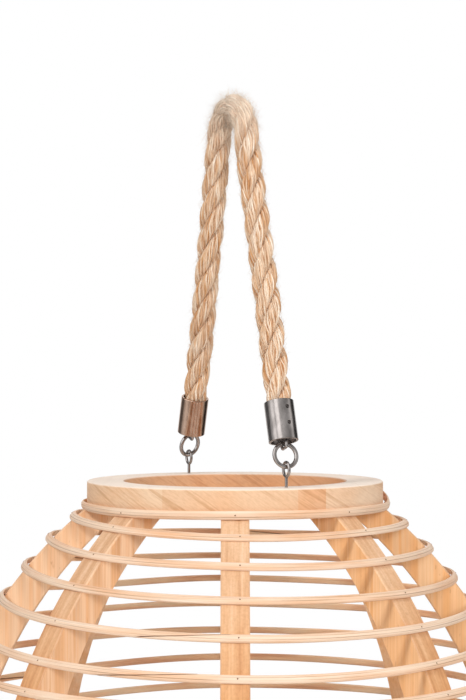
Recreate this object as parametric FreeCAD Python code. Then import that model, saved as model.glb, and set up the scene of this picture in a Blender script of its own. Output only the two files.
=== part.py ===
import FreeCAD, Part
import math
import os

# Hurricane candle lantern, in millimetres.
# A wooden ring and a round base board are joined by eight bowed ribs. Half-round cane hoops are
# nailed round the ribs, a rope handle hangs in two screw eyes, and a glass with a candle stands inside.
# +Z is up, the origin is the centre of the base's underside, and the front rib faces -Y.

# Whole object
TOTAL_HEIGHT = 430.0

# Top ring
RING_OUTER_DIAMETER = 200.0
RING_INNER_DIAMETER = 150.0
RING_THICKNESS = 18.0
BOARD_EDGE_ROUND = 1.2

# Base board, and the cane ring on it that keeps the glass in place
BASE_THICKNESS = 18.0
GLASS_STOP_CLEARANCE = 1.0

# Ribs, sawn from straight board, with the same arc outside and inside
RIB_COUNT = 8
RIB_WIDTH = 18.0
RIB_DEPTH = 27.0
RIB_ARC_RADIUS = 300.0
RIB_BULGE_BELOW_TOP = 250.0
RIB_EDGE_CHAMFER = 0.8

# Dowels between the ring and the ribs, and screws through the base into the ribs
DOWEL_DIAMETER = 6.0
DOWEL_IN_RING = 12.0
DOWEL_IN_RIB = 12.0
DOWEL_TO_BRAD = 0.5
SCREW_DIAMETER = 4.0
SCREW_HEAD_DIAMETER = 8.0
SCREW_IN_RIB = 20.0
SCREW_INSET = 9.0
SCREW_HEAD_SINK = 0.4
SCREW_SLOT_WIDTH = 1.0
SCREW_SLOT_DEPTH = 1.2
FASTENER_CLEARANCE = 0.05

# Cane hoops. The upper ones are placed one by one, down from the ring's top,
# and the rest are spread evenly from there to the hoop round the base.
# Hand-nailed hoops aren't quite level: they lean down to the right and tip up at the back, in degrees.
CANE_WIDTH = 5.6
CANE_EDGE = 0.3
HOOP_CLEARANCE = 0.15
RING_HOOP_DROP = 16.4
UPPER_HOOP_DROPS = [29.6, 46.3, 65.3, 84.9, 106.3, 125.3, 147.4, 169.4]
UPPER_HOOP_TIPS = [0.0, 0.0, 0.0, 0.45, 0.75, 0.0, 0.0, 0.0]
LOWER_HOOP_COUNT = 9
BASE_HOOP_HEIGHT = 16.4
HOOP_LEAN = 1.4
LEANING_HOOPS = 3
LEVEL_HOOPS_BELOW = 8

# Brads that hold the hoops
BRAD_DIAMETER = 1.2
BRAD_HEAD_DIAMETER = 2.0
BRAD_HEAD_HEIGHT = 0.5
BRAD_IN_WOOD = 6.0

# Screw eyes
HANDLE_AZIMUTH = 22.5
EYE_TO_BORE = 10.6
EYE_BAR_HEIGHT = 16.2
EYE_LOOP_RADIUS = 4.6
EYE_WIRE = 2.0
EYE_SHANK_DEPTH = 13.0

# Link rings and the staples that they hang from
LINK_RADIUS = 7.6
LINK_WIRE = 2.75
EYE_PLAY = 0.8
STAPLE_PLAY = 0.3
BACK_LINK_TURN = 18.0
STAPLE_WIRE = 2.0
STAPLE_HALF_WIDTH = 3.8
STAPLE_BEND = 1.6

# Ferrules on the rope's ends
FERRULE_WALL = 1.4
FERRULE_LENGTH = 26.6
FERRULE_SKIRT = 2.4
FERRULE_PLATE = 1.0
FERRULE_EDGE_ROUND = 0.5
BAR_BELOW_FERRULE = 4.2
DIMPLE_RADIUS = 2.2
DIMPLE_DEPTH = 0.6
DIMPLE_DROPS = [5.5, 16.0]
DIMPLE_TURN = 8.5

# Rope. Each leg starts on its straight line from the eye, and the other route points are chosen by hand:
# (out from the lantern's axis along the handle, up from the ring's top), from the front leg to the back one.
ROPE_DIAMETER = 16.4
ROPE_CLEARANCE = 0.1
LEG_LEAN = 17.5
FIRST_RUN_LENGTH = 30.0
FRONT_ROUTE = [(58.2, 110.0), (41.2, 164.0), (24.0, 214.0), (18.0, 242.0), (4.3, 253.0)]
BACK_ROUTE = [(-13.4, 253.0), (-27.6, 242.0), (-33.0, 214.0), (-45.0, 164.0), (-57.8, 110.0)]
ARC_SHARE = 0.45

# Glass and candle
GLASS_DIAMETER = 124.0
GLASS_HEIGHT = 200.0
GLASS_WALL = 3.0
GLASS_FLOOR = 6.0
CANDLE_DIAMETER = 70.0
CANDLE_HEIGHT = 110.0
CANDLE_EDGE_ROUND = 3.0
STANDING_GAP = 0.1
WICK_DIAMETER = 2.0
WICK_ABOVE = 12.0
WICK_INSIDE = 30.0

# Places worked out from the sizes above
V = FreeCAD.Vector
UP = V(0, 0, 1)
ORIGIN = V(0, 0, 0)
RING_RADIUS = RING_OUTER_DIAMETER / 2
RING_BORE_RADIUS = RING_INNER_DIAMETER / 2
RING_UNDERSIDE = TOTAL_HEIGHT - RING_THICKNESS
BULGE_HEIGHT = TOTAL_HEIGHT - RIB_BULGE_BELOW_TOP
ARC_CENTRE_RADIUS = RING_RADIUS - math.sqrt(RIB_ARC_RADIUS ** 2 - (RING_UNDERSIDE - BULGE_HEIGHT) ** 2)
EYE_RADIUS = RING_BORE_RADIUS + EYE_TO_BORE
DOWEL_PLACE_RADIUS = RING_RADIUS - BRAD_IN_WOOD - DOWEL_TO_BRAD - DOWEL_DIAMETER / 2
GLASS_RADIUS = GLASS_DIAMETER / 2
GLASS_UNDERSIDE = BASE_THICKNESS + STANDING_GAP
CANDLE_UNDERSIDE = GLASS_UNDERSIDE + GLASS_FLOOR + STANDING_GAP
RIB_ANGLES = [360.0 / RIB_COUNT * i - 90.0 for i in range(RIB_COUNT)]
CHORD = V(math.sin(math.radians(HANDLE_AZIMUTH)), -math.cos(math.radians(HANDLE_AZIMUTH)), 0)


def rib_radius(z):
    """Radius of the ribs' outer edge at a height."""
    return ARC_CENTRE_RADIUS + math.sqrt(RIB_ARC_RADIUS ** 2 - (z - BULGE_HEIGHT) ** 2)


BASE_RADIUS = rib_radius(BASE_THICKNESS)


def polygon_face(edges):
    """Face inside a closed chain of edges."""
    return Part.Face(Part.Wire([edge.toShape() for edge in edges]))


def rod(radius, length, base, direction):
    return Part.makeCylinder(radius, length, base, direction)


def turned(shape, angle):
    """Copy of a shape turned about the lantern's axis."""
    copy = shape.copy()
    copy.rotate(ORIGIN, UP, angle)
    return copy


def around(shape):
    """Copies of a shape made at +X, one for each rib."""
    return [turned(shape, angle) for angle in RIB_ANGLES]


def rounded(solid, radius, wanted):
    """Solid with the edges that a test picks rounded."""
    return solid.makeFillet(radius, [edge for edge in solid.Edges if wanted(edge)])


def is_circle(edge):
    return isinstance(edge.Curve, Part.Circle)


# Top ring, base board and what joins them to the ribs


def dowel():
    place = V(DOWEL_PLACE_RADIUS, 0, RING_UNDERSIDE - DOWEL_IN_RIB)
    return rod(DOWEL_DIAMETER / 2, DOWEL_IN_RIB + DOWEL_IN_RING, place, UP)


def dowel_hole():
    place = V(DOWEL_PLACE_RADIUS, 0, RING_UNDERSIDE - DOWEL_IN_RIB - FASTENER_CLEARANCE)
    length = DOWEL_IN_RIB + DOWEL_IN_RING + 2 * FASTENER_CLEARANCE
    return rod(DOWEL_DIAMETER / 2 + FASTENER_CLEARANCE, length, place, UP)


def screw_body(spread):
    """Countersunk screw, grown by a clearance for its hole."""
    foot = V(BASE_RADIUS - SCREW_INSET, 0, SCREW_HEAD_SINK)
    radius = SCREW_DIAMETER / 2 + spread
    head_radius = SCREW_HEAD_DIAMETER / 2 + spread
    head_height = head_radius - radius
    head = Part.makeCone(head_radius, radius, head_height, foot, UP)
    shank_length = BASE_THICKNESS + SCREW_IN_RIB + spread - SCREW_HEAD_SINK
    return head.fuse(rod(radius, shank_length, foot, UP)).removeSplitter()


def base_screw():
    corner = V(BASE_RADIUS - SCREW_INSET - SCREW_HEAD_DIAMETER / 2, -SCREW_SLOT_WIDTH / 2, 0)
    slot = Part.makeBox(SCREW_HEAD_DIAMETER, SCREW_SLOT_WIDTH, SCREW_HEAD_SINK + SCREW_SLOT_DEPTH, corner)
    return screw_body(0.0).cut(slot)


def screw_hole():
    mouth = V(BASE_RADIUS - SCREW_INSET, 0, 0)
    sink = rod(SCREW_HEAD_DIAMETER / 2 + FASTENER_CLEARANCE, SCREW_HEAD_SINK, mouth, UP)
    return screw_body(FASTENER_CLEARANCE).fuse(sink)


def eye_place(side):
    """Point on the ring's top under a screw eye, side +1 for the front one."""
    return CHORD * (side * EYE_RADIUS) + UP * TOTAL_HEIGHT


def eye_hole(side):
    radius = EYE_WIRE / 2 + FASTENER_CLEARANCE
    depth = EYE_SHANK_DEPTH + FASTENER_CLEARANCE
    return rod(radius, depth, eye_place(side) - UP * depth, UP)


def top_ring():
    outside = rod(RING_RADIUS, RING_THICKNESS, V(0, 0, RING_UNDERSIDE), UP)
    bore = rod(RING_BORE_RADIUS, RING_THICKNESS, V(0, 0, RING_UNDERSIDE), UP)
    ring = rounded(outside.cut(bore), BOARD_EDGE_ROUND, is_circle)
    return ring.cut(around(dowel_hole()) + [eye_hole(1), eye_hole(-1)] + brad_holes_in(0))


def base_board():
    board = rounded(rod(BASE_RADIUS, BASE_THICKNESS, ORIGIN, UP), BOARD_EDGE_ROUND, is_circle)
    return board.cut(around(screw_hole()) + brad_holes_in(len(HOOPS) - 1))


def glass_stop():
    """Half-round cane glued flat on the base, round the foot of the glass."""
    middle = GLASS_RADIUS + GLASS_STOP_CLEARANCE + CANE_WIDTH / 2
    return cane_ring(V(middle, 0, BASE_THICKNESS), math.pi / 2)[0]


# Ribs


def rib_blank():
    """Bowed board at +X, with its tip trimmed flush with the ring's bore."""
    def outer(z):
        return V(rib_radius(z), -RIB_WIDTH / 2, z)

    def inner(z):
        return outer(z) - V(RIB_DEPTH, 0, 0)

    reach = RING_BORE_RADIUS + RIB_DEPTH - ARC_CENTRE_RADIUS
    trim = BULGE_HEIGHT + math.sqrt(RIB_ARC_RADIUS ** 2 - reach ** 2)
    trim = min(trim, RING_UNDERSIDE)
    tip = V(max(RING_BORE_RADIUS, RING_RADIUS - RIB_DEPTH), -RIB_WIDTH / 2, RING_UNDERSIDE)
    middle = (BASE_THICKNESS + RING_UNDERSIDE) / 2
    edges = [
        Part.Arc(outer(RING_UNDERSIDE), outer(middle), outer(BASE_THICKNESS)),
        Part.LineSegment(outer(BASE_THICKNESS), inner(BASE_THICKNESS)),
        Part.Arc(inner(BASE_THICKNESS), inner(middle), inner(trim)),
        Part.LineSegment(tip, outer(RING_UNDERSIDE)),
    ]
    if trim < RING_UNDERSIDE:
        edges.insert(3, Part.LineSegment(inner(trim), tip))
    board = polygon_face(edges).extrude(V(0, RIB_WIDTH, 0))

    def is_long(edge):
        return is_circle(edge) and edge.Length > RIB_DEPTH * 2

    return board.makeChamfer(RIB_EDGE_CHAMFER, [edge for edge in board.Edges if is_long(edge)])


def rib(index):
    angle = RIB_ANGLES[index]
    holes = [turned(dowel_hole(), angle), turned(screw_hole(), angle)]
    for hoop in HOOPS[1:-1]:
        holes.append(hoop["brad_holes"][index])
    return turned(rib_blank(), angle).cut(holes)


# Cane hoops and their brads


def hoop_levels():
    """Height, lean and tip of every hoop, from the ring down to the base."""
    heights = [TOTAL_HEIGHT - drop for drop in [RING_HOOP_DROP] + UPPER_HOOP_DROPS]
    step = (heights[-1] - BASE_HOOP_HEIGHT) / (LOWER_HOOP_COUNT + 1)
    heights += [heights[-1] - step * (i + 1) for i in range(LOWER_HOOP_COUNT + 1)]
    leans = []
    for i in range(len(heights)):
        fade = (LEVEL_HOOPS_BELOW - i) / (LEVEL_HOOPS_BELOW - LEANING_HOOPS)
        leans.append(0.0 if i == 0 else HOOP_LEAN * min(1.0, max(0.0, fade)))
    tips = [0.0] + UPPER_HOOP_TIPS + [0.0] * (LOWER_HOOP_COUNT + 1)
    return list(zip(heights, leans, tips))


def sagitta(radius):
    """How far a round hoop must stand off the flat outer edge of a rib."""
    return RIB_WIDTH ** 2 / (8 * radius)


def hoop_seat(index, count, z):
    """Middle of a hoop's flat face and the slope of its outward normal."""
    if index == 0:
        low = min(z - CANE_WIDTH / 2, RING_UNDERSIDE)
        radius = rib_radius(low)
        return V(radius + sagitta(radius) + HOOP_CLEARANCE, 0, z), 0.0
    if index == count - 1:
        high = max(z + CANE_WIDTH / 2, BASE_THICKNESS)
        radius = rib_radius(high)
        return V(radius + sagitta(radius) + HOOP_CLEARANCE, 0, z), 0.0
    slope = math.asin((z - BULGE_HEIGHT) / RIB_ARC_RADIUS)
    radius = rib_radius(z)
    gap = sagitta(radius) * math.cos(slope) + HOOP_CLEARANCE
    return V(radius + gap * math.cos(slope), 0, z + gap * math.sin(slope)), slope


def leaned(shape, seat, slope, lean, tip):
    """Hoop leaned down to the right and tipped up at the back, and moved so that it stays on the ribs."""
    copy = shape.copy()
    copy.rotate(V(0, 0, seat.z), V(0, 1, 0), lean)
    copy.rotate(V(0, 0, seat.z), V(1, 0, 0), tip)
    slide = seat.x * math.tan(slope)
    copy.translate(V(slide * math.sin(math.radians(lean)), -slide * math.sin(math.radians(tip)), 0))
    return copy


def cane_ring(seat, slope):
    """Half-round cane, flat against the ribs, carried once round the axis."""
    out = V(math.cos(slope), 0, math.sin(slope))
    side = V(math.sin(slope), 0, -math.cos(slope)) * (CANE_WIDTH / 2)
    shoulder = seat + out * CANE_EDGE
    crown = shoulder + out * (CANE_WIDTH / 2)
    edges = [
        Part.LineSegment(seat - side, seat + side),
        Part.LineSegment(seat + side, shoulder + side),
        Part.Arc(shoulder + side, crown, shoulder - side),
        Part.LineSegment(shoulder - side, seat - side),
    ]
    return polygon_face(edges).revolve(ORIGIN, UP, 360), crown


def brad():
    """Nail along +X, with its domed head standing on the cane's crown at the origin."""
    sphere_radius = ((BRAD_HEAD_DIAMETER / 2) ** 2 + BRAD_HEAD_HEIGHT ** 2) / (2 * BRAD_HEAD_HEIGHT)
    rim = V(0, BRAD_HEAD_DIAMETER / 2, 0)
    top = V(BRAD_HEAD_HEIGHT, 0, 0)
    bend = math.asin(rim.y / sphere_radius) / 2
    dome = V(BRAD_HEAD_HEIGHT - sphere_radius * (1 - math.cos(bend)), sphere_radius * math.sin(bend), 0)
    shank = V(0, BRAD_DIAMETER / 2, 0)
    length = V(-BRAD_IN_WOOD - CANE_WIDTH / 2 - CANE_EDGE, 0, 0)
    edges = [
        Part.Arc(top, dome, rim),
        Part.LineSegment(rim, shank),
        Part.LineSegment(shank, shank + length),
        Part.LineSegment(shank + length, length),
        Part.LineSegment(length, top),
    ]
    return polygon_face(edges).revolve(ORIGIN, V(1, 0, 0), 360)


def brad_hole():
    length = BRAD_IN_WOOD + CANE_WIDTH / 2 + CANE_EDGE + FASTENER_CLEARANCE
    return rod(BRAD_DIAMETER / 2 + FASTENER_CLEARANCE, length, ORIGIN, V(-1, 0, 0))


def on_crown(shape, crown, slope):
    copy = shape.copy()
    copy.rotate(ORIGIN, V(0, 1, 0), -math.degrees(slope))
    copy.translate(crown)
    return copy


def make_hoops():
    """Every hoop with its cane, its brads and the holes they need."""
    hoops = []
    levels = hoop_levels()
    for index, (z, lean, tip) in enumerate(levels):
        seat, slope = hoop_seat(index, len(levels), z)
        cane, crown = cane_ring(seat, slope)
        brads = [leaned(b, seat, slope, lean, tip) for b in around(on_crown(brad(), crown, slope))]
        holes = [leaned(h, seat, slope, lean, tip) for h in around(on_crown(brad_hole(), crown, slope))]
        cane = leaned(cane, seat, slope, lean, tip).cut(holes)
        hoops.append({"cane": cane, "brads": brads, "brad_holes": holes})
    return hoops


HOOPS = make_hoops()


def brad_holes_in(index):
    return HOOPS[index]["brad_holes"]


# Handle: screw eyes, link rings, staples, ferrules and rope.
# Each end has its own frame, with its origin at the eye's bar, +Z along the rope and +X outwards.

LEG = math.radians(LEG_LEAN)
LINK_CENTRE = LINK_RADIUS - (EYE_WIRE + LINK_WIRE) / 2 - EYE_PLAY
STAPLE_BAR = LINK_CENTRE + LINK_RADIUS - (STAPLE_WIRE + LINK_WIRE) / 2 - STAPLE_PLAY
FERRULE_RIM = STAPLE_BAR + BAR_BELOW_FERRULE
PLATE_UNDERSIDE = FERRULE_RIM + FERRULE_SKIRT
ROPE_END = PLATE_UNDERSIDE + FERRULE_PLATE
FERRULE_BORE = ROPE_DIAMETER / 2 + ROPE_CLEARANCE
FERRULE_RADIUS = FERRULE_BORE + FERRULE_WALL


def end_frame(side):
    """Placement of one end of the handle, side +1 for the front one."""
    outwards = CHORD * side
    along = UP * math.cos(LEG) - outwards * math.sin(LEG)
    across = outwards * math.cos(LEG) + UP * math.sin(LEG)
    turn = FreeCAD.Rotation(across, along.cross(across), along, "ZXY")
    return FreeCAD.Placement(eye_place(side) + UP * EYE_BAR_HEIGHT, turn)


def placed(shape, side):
    copy = shape.copy()
    copy.Placement = end_frame(side).multiply(copy.Placement)
    return copy


def screw_eye(side):
    across = CHORD.cross(UP)
    centre = eye_place(side) + UP * (EYE_BAR_HEIGHT - EYE_LOOP_RADIUS)
    loop = Part.makeTorus(EYE_LOOP_RADIUS, EYE_WIRE / 2, centre, across)
    foot = eye_place(side) - UP * EYE_SHANK_DEPTH
    length = centre.z - EYE_LOOP_RADIUS - foot.z
    return loop.fuse(rod(EYE_WIRE / 2, length, foot, UP)).removeSplitter()


def link_ring(side):
    turn = math.radians(BACK_LINK_TURN) if side < 0 else 0.0
    axis = V(math.cos(turn), math.sin(turn), 0)
    return placed(Part.makeTorus(LINK_RADIUS, LINK_WIRE / 2, V(0, 0, LINK_CENTRE), axis), side)


def swept(points, bends, radius):
    """Round wire or rope along straight runs that arcs join, and the length of its path."""
    edges = []
    start = points[0]
    for before, corner, after, bend in zip(points, points[1:], points[2:], bends):
        into = (corner - before).normalize()
        out = (after - corner).normalize()
        half_turn = into.getAngle(out) / 2
        tangent = bend * math.tan(half_turn)
        first = corner - into * tangent
        last = corner + out * tangent
        inwards = (out - into).normalize()
        middle = corner + inwards * (bend / math.cos(half_turn) - bend)
        edges += [Part.LineSegment(start, first), Part.Arc(first, middle, last)]
        start = last
    edges.append(Part.LineSegment(start, points[-1]))
    path = Part.Wire([edge.toShape() for edge in edges])
    section = Part.Wire(Part.makeCircle(radius, points[0], points[1] - points[0]))
    return path.makePipeShell([section], True, False), path.Length


def staple_points():
    corners = [(1, ROPE_END), (1, STAPLE_BAR), (-1, STAPLE_BAR), (-1, ROPE_END)]
    return [V(side * STAPLE_HALF_WIDTH, 0, z) for side, z in corners]


def staple(side):
    wire, length = swept(staple_points(), [STAPLE_BEND, STAPLE_BEND], STAPLE_WIRE / 2)
    return placed(wire, side)


def staple_holes():
    radius = STAPLE_WIRE / 2 + FASTENER_CLEARANCE
    return [rod(radius, FERRULE_PLATE, V(x, 0, PLATE_UNDERSIDE), UP)
            for x in (STAPLE_HALF_WIDTH, -STAPLE_HALF_WIDTH)]


def dimples():
    """Balls that dent the ferrule's outside, where the rope is nipped."""
    angle = math.radians(DIMPLE_TURN)
    out = V(math.cos(angle), math.sin(angle), 0) * (FERRULE_RADIUS + DIMPLE_RADIUS - DIMPLE_DEPTH)
    tops = [FERRULE_RIM + FERRULE_LENGTH - drop for drop in DIMPLE_DROPS]
    return [Part.makeSphere(DIMPLE_RADIUS, out + UP * top) for top in tops]


def ferrule(side):
    tube = rod(FERRULE_RADIUS, FERRULE_LENGTH, V(0, 0, FERRULE_RIM), UP)
    tube = rounded(tube, FERRULE_EDGE_ROUND, is_circle)
    skirt = rod(FERRULE_BORE, FERRULE_SKIRT, V(0, 0, FERRULE_RIM), UP)
    socket_depth = FERRULE_LENGTH - FERRULE_SKIRT - FERRULE_PLATE
    socket = rod(FERRULE_BORE, socket_depth, V(0, 0, ROPE_END), UP)
    return placed(tube.cut([skirt, socket] + staple_holes() + dimples()), side)


def rope_route():
    """Route of the rope from the front ferrule over the top to the back one."""
    end = (ROPE_END * math.sin(LEG), EYE_BAR_HEIGHT + ROPE_END * math.cos(LEG))
    first = (end[0] + FIRST_RUN_LENGTH * math.sin(LEG), end[1] + FIRST_RUN_LENGTH * math.cos(LEG))
    front = [(EYE_RADIUS - inwards, up) for inwards, up in (end, first)]
    back = [(-reach, up) for reach, up in reversed(front)]
    route = front + FRONT_ROUTE + BACK_ROUTE + back
    return [CHORD * reach + UP * (TOTAL_HEIGHT + up) for reach, up in route]


def rope_bends(points):
    """Largest arc that the two runs at each point of the route leave room for."""
    bends = []
    for before, corner, after in zip(points, points[1:], points[2:]):
        into = corner - before
        out = after - corner
        shorter = min(into.Length, out.Length)
        bends.append(ARC_SHARE * shorter / math.tan(into.getAngle(out) / 2))
    return bends


def rope_handle():
    points = rope_route()
    bends = rope_bends(points)
    rope, length = swept(points, bends, ROPE_DIAMETER / 2)
    share = rope.Volume / (math.pi * ROPE_DIAMETER ** 2 / 4 * length)
    print("rope length", round(length, 1), "volume over section times length", round(share, 5))
    print("rope bend radii", [round(bend, 1) for bend in bends])
    return rope


# Glass, candle and wick


def glass_cylinder():
    body = rod(GLASS_RADIUS, GLASS_HEIGHT, V(0, 0, GLASS_UNDERSIDE), UP)
    inside_height = GLASS_HEIGHT - GLASS_FLOOR
    inside = rod(GLASS_RADIUS - GLASS_WALL, inside_height, V(0, 0, GLASS_UNDERSIDE + GLASS_FLOOR), UP)
    rim = GLASS_UNDERSIDE + GLASS_HEIGHT

    def is_rim(edge):
        return is_circle(edge) and edge.BoundBox.ZMin > rim - GLASS_WALL

    return rounded(body.cut(inside), GLASS_WALL * 0.45, is_rim)


def pillar_candle():
    wax = rod(CANDLE_DIAMETER / 2, CANDLE_HEIGHT, V(0, 0, CANDLE_UNDERSIDE), UP)
    top = CANDLE_UNDERSIDE + CANDLE_HEIGHT

    def is_top(edge):
        return is_circle(edge) and edge.BoundBox.ZMin > top - CANDLE_EDGE_ROUND

    wax = rounded(wax, CANDLE_EDGE_ROUND, is_top)
    radius = WICK_DIAMETER / 2 + FASTENER_CLEARANCE
    return wax.cut(rod(radius, WICK_INSIDE, V(0, 0, top - WICK_INSIDE), UP))


def wick():
    foot = CANDLE_UNDERSIDE + CANDLE_HEIGHT - WICK_INSIDE
    return rod(WICK_DIAMETER / 2, WICK_INSIDE + WICK_ABOVE, V(0, 0, foot), UP)


def all_nodes():
    nodes = {
        "top_ring": top_ring(),
        "base_board": base_board(),
        "glass_stop": glass_stop(),
        "rib_dowels": Part.makeCompound(around(dowel())),
        "base_screws": Part.makeCompound(around(base_screw())),
        "hoop_brads": Part.makeCompound([b for hoop in HOOPS for b in hoop["brads"]]),
        "rope_handle": rope_handle(),
        "glass_cylinder": glass_cylinder(),
        "pillar_candle": pillar_candle(),
        "candle_wick": wick(),
    }
    for index in range(RIB_COUNT):
        nodes["rib_%d" % (index + 1)] = rib(index)
    for index, hoop in enumerate(HOOPS):
        nodes["hoop_%02d" % (index + 1)] = hoop["cane"]
    for name, side in (("front", 1), ("back", -1)):
        nodes["screw_eye_" + name] = screw_eye(side)
        nodes["link_ring_" + name] = link_ring(side)
        nodes["staple_" + name] = staple(side)
        nodes["ferrule_" + name] = ferrule(side)
    return nodes


os.makedirs("parts", exist_ok=True)
for node, shape in all_nodes().items():
    shape.exportStep(os.path.join("parts", node + ".step"))
for name, side in (("front", 1), ("back", -1)):
    frame = end_frame(side)
    bar = frame.multVec(V(0, 0, STAPLE_BAR))
    print(name, "eye bar", frame.Base, "staple bar", bar)
print("handle chord", CHORD, "base radius", round(BASE_RADIUS, 2))
print("rope route", [(round(p.dot(CHORD), 3), round(p.z, 3)) for p in rope_route()])
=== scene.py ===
# %% [markdown]
# # A hurricane candle lantern
# The lantern is a wooden ring and a round base board with eight bowed ribs between them. Split cane
# runs round the ribs in hoops, a rope handle hangs from two screw eyes, and a glass with a candle
# stands inside. The measured model gives every solid its place, in metres, and this lesson dresses it:
# the rope, the cane and the nails become new surfaces, and the rest gets new finishes.

# %% The measured model and its box
import math

import bpy
import numpy as np
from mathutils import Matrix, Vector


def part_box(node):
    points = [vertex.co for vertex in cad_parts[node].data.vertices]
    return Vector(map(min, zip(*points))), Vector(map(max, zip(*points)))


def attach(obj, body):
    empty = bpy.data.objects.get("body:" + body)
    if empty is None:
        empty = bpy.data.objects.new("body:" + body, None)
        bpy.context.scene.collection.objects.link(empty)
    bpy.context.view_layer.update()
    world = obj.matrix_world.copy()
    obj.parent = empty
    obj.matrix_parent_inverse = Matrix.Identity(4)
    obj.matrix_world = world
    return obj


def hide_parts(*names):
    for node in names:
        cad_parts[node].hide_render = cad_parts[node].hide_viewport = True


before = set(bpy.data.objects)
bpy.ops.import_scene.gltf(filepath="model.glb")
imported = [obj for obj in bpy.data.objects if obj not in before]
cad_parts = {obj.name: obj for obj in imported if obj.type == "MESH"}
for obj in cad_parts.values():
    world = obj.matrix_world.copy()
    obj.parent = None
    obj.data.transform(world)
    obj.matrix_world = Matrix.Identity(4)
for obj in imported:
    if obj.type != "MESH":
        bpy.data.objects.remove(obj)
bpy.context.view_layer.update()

scene = bpy.context.scene

# %% [markdown]
# ## Camera
# The picture was taken level, from in front, with a long lens, and it shows the upper half of the
# lantern. A camera could be turned by hand until it looks right. Here its distance, height and focal
# length come from the ring's ellipses, which fixes the perspective before anything is dressed.

# %% Camera
IMAGE_WIDTH, IMAGE_HEIGHT = 466, 700
FOCAL_PIXELS = 2150.0
PIXELS_PER_METRE = 1477.0
AXIS_COLUMN = 235.0
EYE_HEIGHT = 0.518
SENSOR = 36.0

camera_data = bpy.data.cameras.new("camera")
camera_data.sensor_fit = "AUTO"
camera_data.sensor_width = SENSOR
camera_data.lens = SENSOR * FOCAL_PIXELS / IMAGE_HEIGHT
camera = bpy.data.objects.new("camera", camera_data)
scene.collection.objects.link(camera)
side_step = (IMAGE_WIDTH / 2 - AXIS_COLUMN) / PIXELS_PER_METRE
camera.location = (side_step, -FOCAL_PIXELS / PIXELS_PER_METRE, EYE_HEIGHT)
camera.rotation_euler = (math.radians(90), 0, 0)
scene.camera = camera
print("lens", round(camera_data.lens, 1), "mm, at", [round(x, 3) for x in camera.location])

# %% [markdown]
# ## Grids of points
# Every new piece is a grid: rows of points along the piece, and columns round its section. Blender can
# build such things with curves and modifiers, but a grid of numbers states the shape exactly, and numpy
# works out all its points at once. These helpers turn grids into one mesh with closed ends.


# %% Grid helpers
def grid_quads(rows, columns):
    """Quads that join point (i, j) to its neighbours (i, j+1), (i+1, j+1) and (i+1, j). Columns wrap."""
    i, j = np.meshgrid(np.arange(rows - 1), np.arange(columns), indexing="ij")
    below, beside = i + 1, (j + 1) % columns
    corners = [i * columns + j, i * columns + beside, below * columns + beside, below * columns + j]
    return np.stack(corners, axis=-1).reshape(-1, 4)


def grid_corner_uv(rows, columns, along, round_share):
    """UV of each quad corner: (along, round) at its row and column, with no jump where columns wrap."""
    i, j = np.meshgrid(np.arange(rows - 1), np.arange(columns), indexing="ij")
    row = np.stack([i, i, i + 1, i + 1], axis=-1)
    column = np.stack([j, j + 1, j + 1, j], axis=-1)
    return np.stack([along[row], round_share[row, column]], axis=-1).reshape(-1, 2)


def signed_volume(points, quads):
    """Sum of the tetrahedra from the origin to each half quad, positive when faces look outwards."""
    a, b, c, d = (points[quads[:, k]] for k in range(4))
    halves = np.einsum("ij,ij->i", a, np.cross(b, c)) + np.einsum("ij,ij->i", a, np.cross(c, d))
    return halves.sum() / 6


def tube_shell(points, along, round_share, tint):
    """One closed tube: its points, its quads, its end caps, the UV of all their corners and a tint."""
    rows, columns = points.shape[:2]
    flat = points.reshape(-1, 3)
    quads = grid_quads(rows, columns)
    uv = grid_corner_uv(rows, columns, along, round_share)
    first, last = np.arange(columns)[::-1], (rows - 1) * columns + np.arange(columns)
    caps = np.stack([first, last])
    if signed_volume(flat, quads) < 0:
        quads, caps = quads[:, ::-1], caps[:, ::-1]
        uv = uv.reshape(-1, 4, 2)[:, ::-1].reshape(-1, 2)
    cap_uv = np.zeros((caps.size, 2))
    cap_uv[:columns, 0], cap_uv[columns:, 0] = along[0], along[-1]
    uv = np.concatenate([uv, cap_uv])
    return {"points": flat, "quads": quads, "caps": caps, "uv": uv, "tint": tint}


def add_piece(name, shells, body):
    """Joins shells into one mesh object that rides on a body."""
    counts = [len(shell["points"]) for shell in shells]
    offsets = np.concatenate([[0], np.cumsum(counts)[:-1]])
    loops, sizes = [], []
    for shell, offset in zip(shells, offsets):
        for faces in (shell["quads"], shell["caps"]):
            loops.append((faces + offset).ravel())
            sizes.append(np.full(len(faces), faces.shape[1]))
    loops, sizes = np.concatenate(loops), np.concatenate(sizes)
    mesh = bpy.data.meshes.new(name)
    mesh.vertices.add(sum(counts))
    points = np.concatenate([shell["points"] for shell in shells])
    mesh.vertices.foreach_set("co", points.astype(np.float32).ravel())
    mesh.loops.add(len(loops))
    mesh.loops.foreach_set("vertex_index", loops.astype(np.int32))
    mesh.polygons.add(len(sizes))
    starts = np.concatenate([[0], np.cumsum(sizes)[:-1]])
    mesh.polygons.foreach_set("loop_start", starts.astype(np.int32))
    mesh.polygons.foreach_set("use_smooth", np.full(len(sizes), True))
    mesh.update(calc_edges=True)
    uv = np.concatenate([shell["uv"] for shell in shells]).astype(np.float32)
    mesh.uv_layers.new(name="UVMap").data.foreach_set("uv", uv.ravel())
    tints = np.concatenate([np.full(n, shell["tint"]) for n, shell in zip(counts, shells)])
    tint = mesh.attributes.new("tint", "FLOAT", "POINT")
    tint.data.foreach_set("value", tints.astype(np.float32))
    mesh.validate()
    piece = bpy.data.objects.new(name, mesh)
    scene.collection.objects.link(piece)
    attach(piece, body)
    return piece


print("helpers ready")

# %% [markdown]
# ## Rope: the line it follows
# The handle is a jute rope, about half a metre of it, folded at the top and drawn straight by the
# lantern's weight below. A Bezier curve with handles would do, but the route of the model is a short
# list of points, so a NURBS curve takes them as its control points and gives a line with no corners.

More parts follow.
